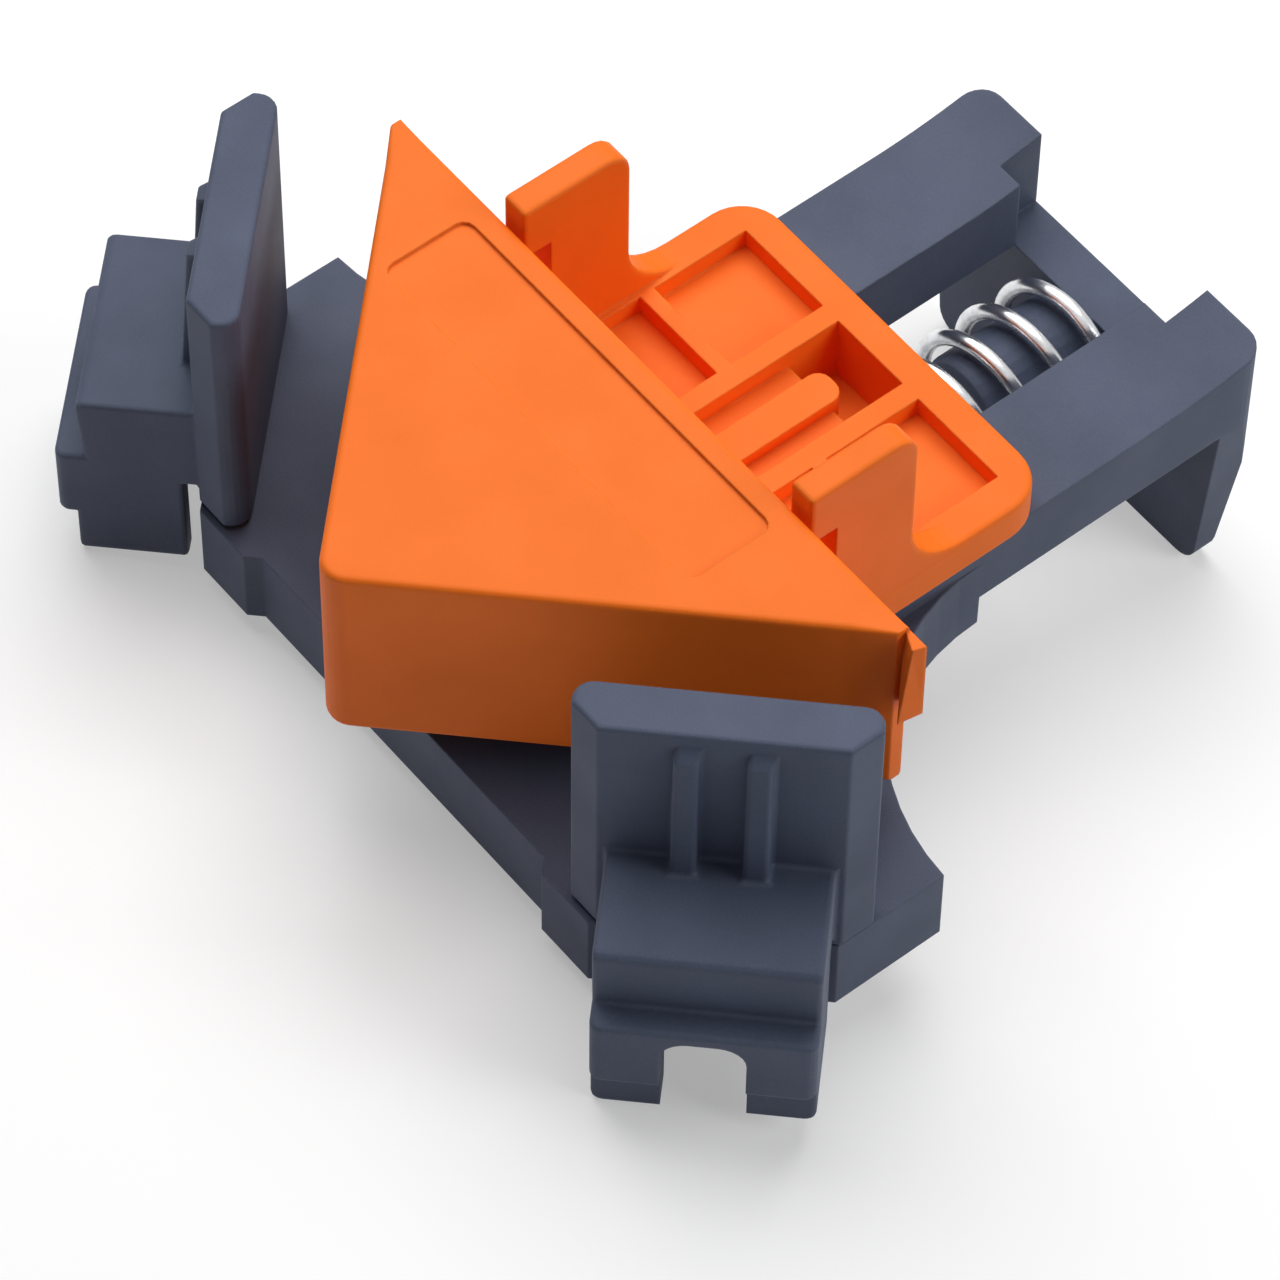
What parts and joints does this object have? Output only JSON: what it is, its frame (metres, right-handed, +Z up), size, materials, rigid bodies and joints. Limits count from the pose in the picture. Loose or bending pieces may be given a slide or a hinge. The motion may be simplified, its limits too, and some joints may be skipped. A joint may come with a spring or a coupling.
{
  "type": "spring corner clamp",
  "caption": "One-hand corner clamp: T-shaped base with palm plate, spring-loaded sliding tray with finger ears, right-angle block and two swivelling jaws.",
  "frame": {"origin": "middle of the footprint at the lowest point, which is the bottom edge of the palm plate", "axes": "+X from the left jaw to the right jaw, +Y from the block's corner to the palm plate, +Z up out of the block's top"},
  "size_m": [0.1038, 0.0928, 0.0565],
  "materials": {
    "dark_nylon": "dark slate moulded nylon, matte with a fine texture",
    "orange_plastic": "bright orange moulded plastic, satin",
    "zinc_steel": "bright zinc-plated steel"
  },
  "bodies": {
    "base": {"base_frame": "dark_nylon", "return_spring": "zinc_steel"},
    "slider": {"slider_tray": "orange_plastic", "slider_keeper": "dark_nylon", "front_keeper_screw": "zinc_steel", "rear_keeper_screw": "zinc_steel"},
    "block": {"angle_block": "orange_plastic"},
    "left_jaw": {"left_jaw": "dark_nylon", "left_pivot_screw": "zinc_steel", "left_pivot_washer": "zinc_steel"},
    "right_jaw": {"right_jaw": "dark_nylon", "right_pivot_screw": "zinc_steel", "right_pivot_washer": "zinc_steel"}
  },
  "joints": [
    {"name": "slider_slide", "type": "slide", "parent": "base", "child": "slider", "axis": [0, 1, 0], "range_m": [0, 0.0172], "stiffness_N_per_m": 700, "springref_m": -0.012, "deforming": ["return_spring"]},
    {"name": "block_lift", "type": "slide", "parent": "slider", "child": "block", "axis": [0, 0, 1], "range_m": [0, 0.03]},
    {"name": "left_jaw_swivel", "type": "hinge", "parent": "base", "child": "left_jaw", "pos_m": [-0.0379, -0.0324, 0.0216], "axis": [0, 0, 1], "range_deg": [-8, 8]},
    {"name": "right_jaw_swivel", "type": "hinge", "parent": "base", "child": "right_jaw", "pos_m": [0.0379, -0.0324, 0.0216], "axis": [0, 0, 1], "range_deg": [-8, 8]}
  ]
}
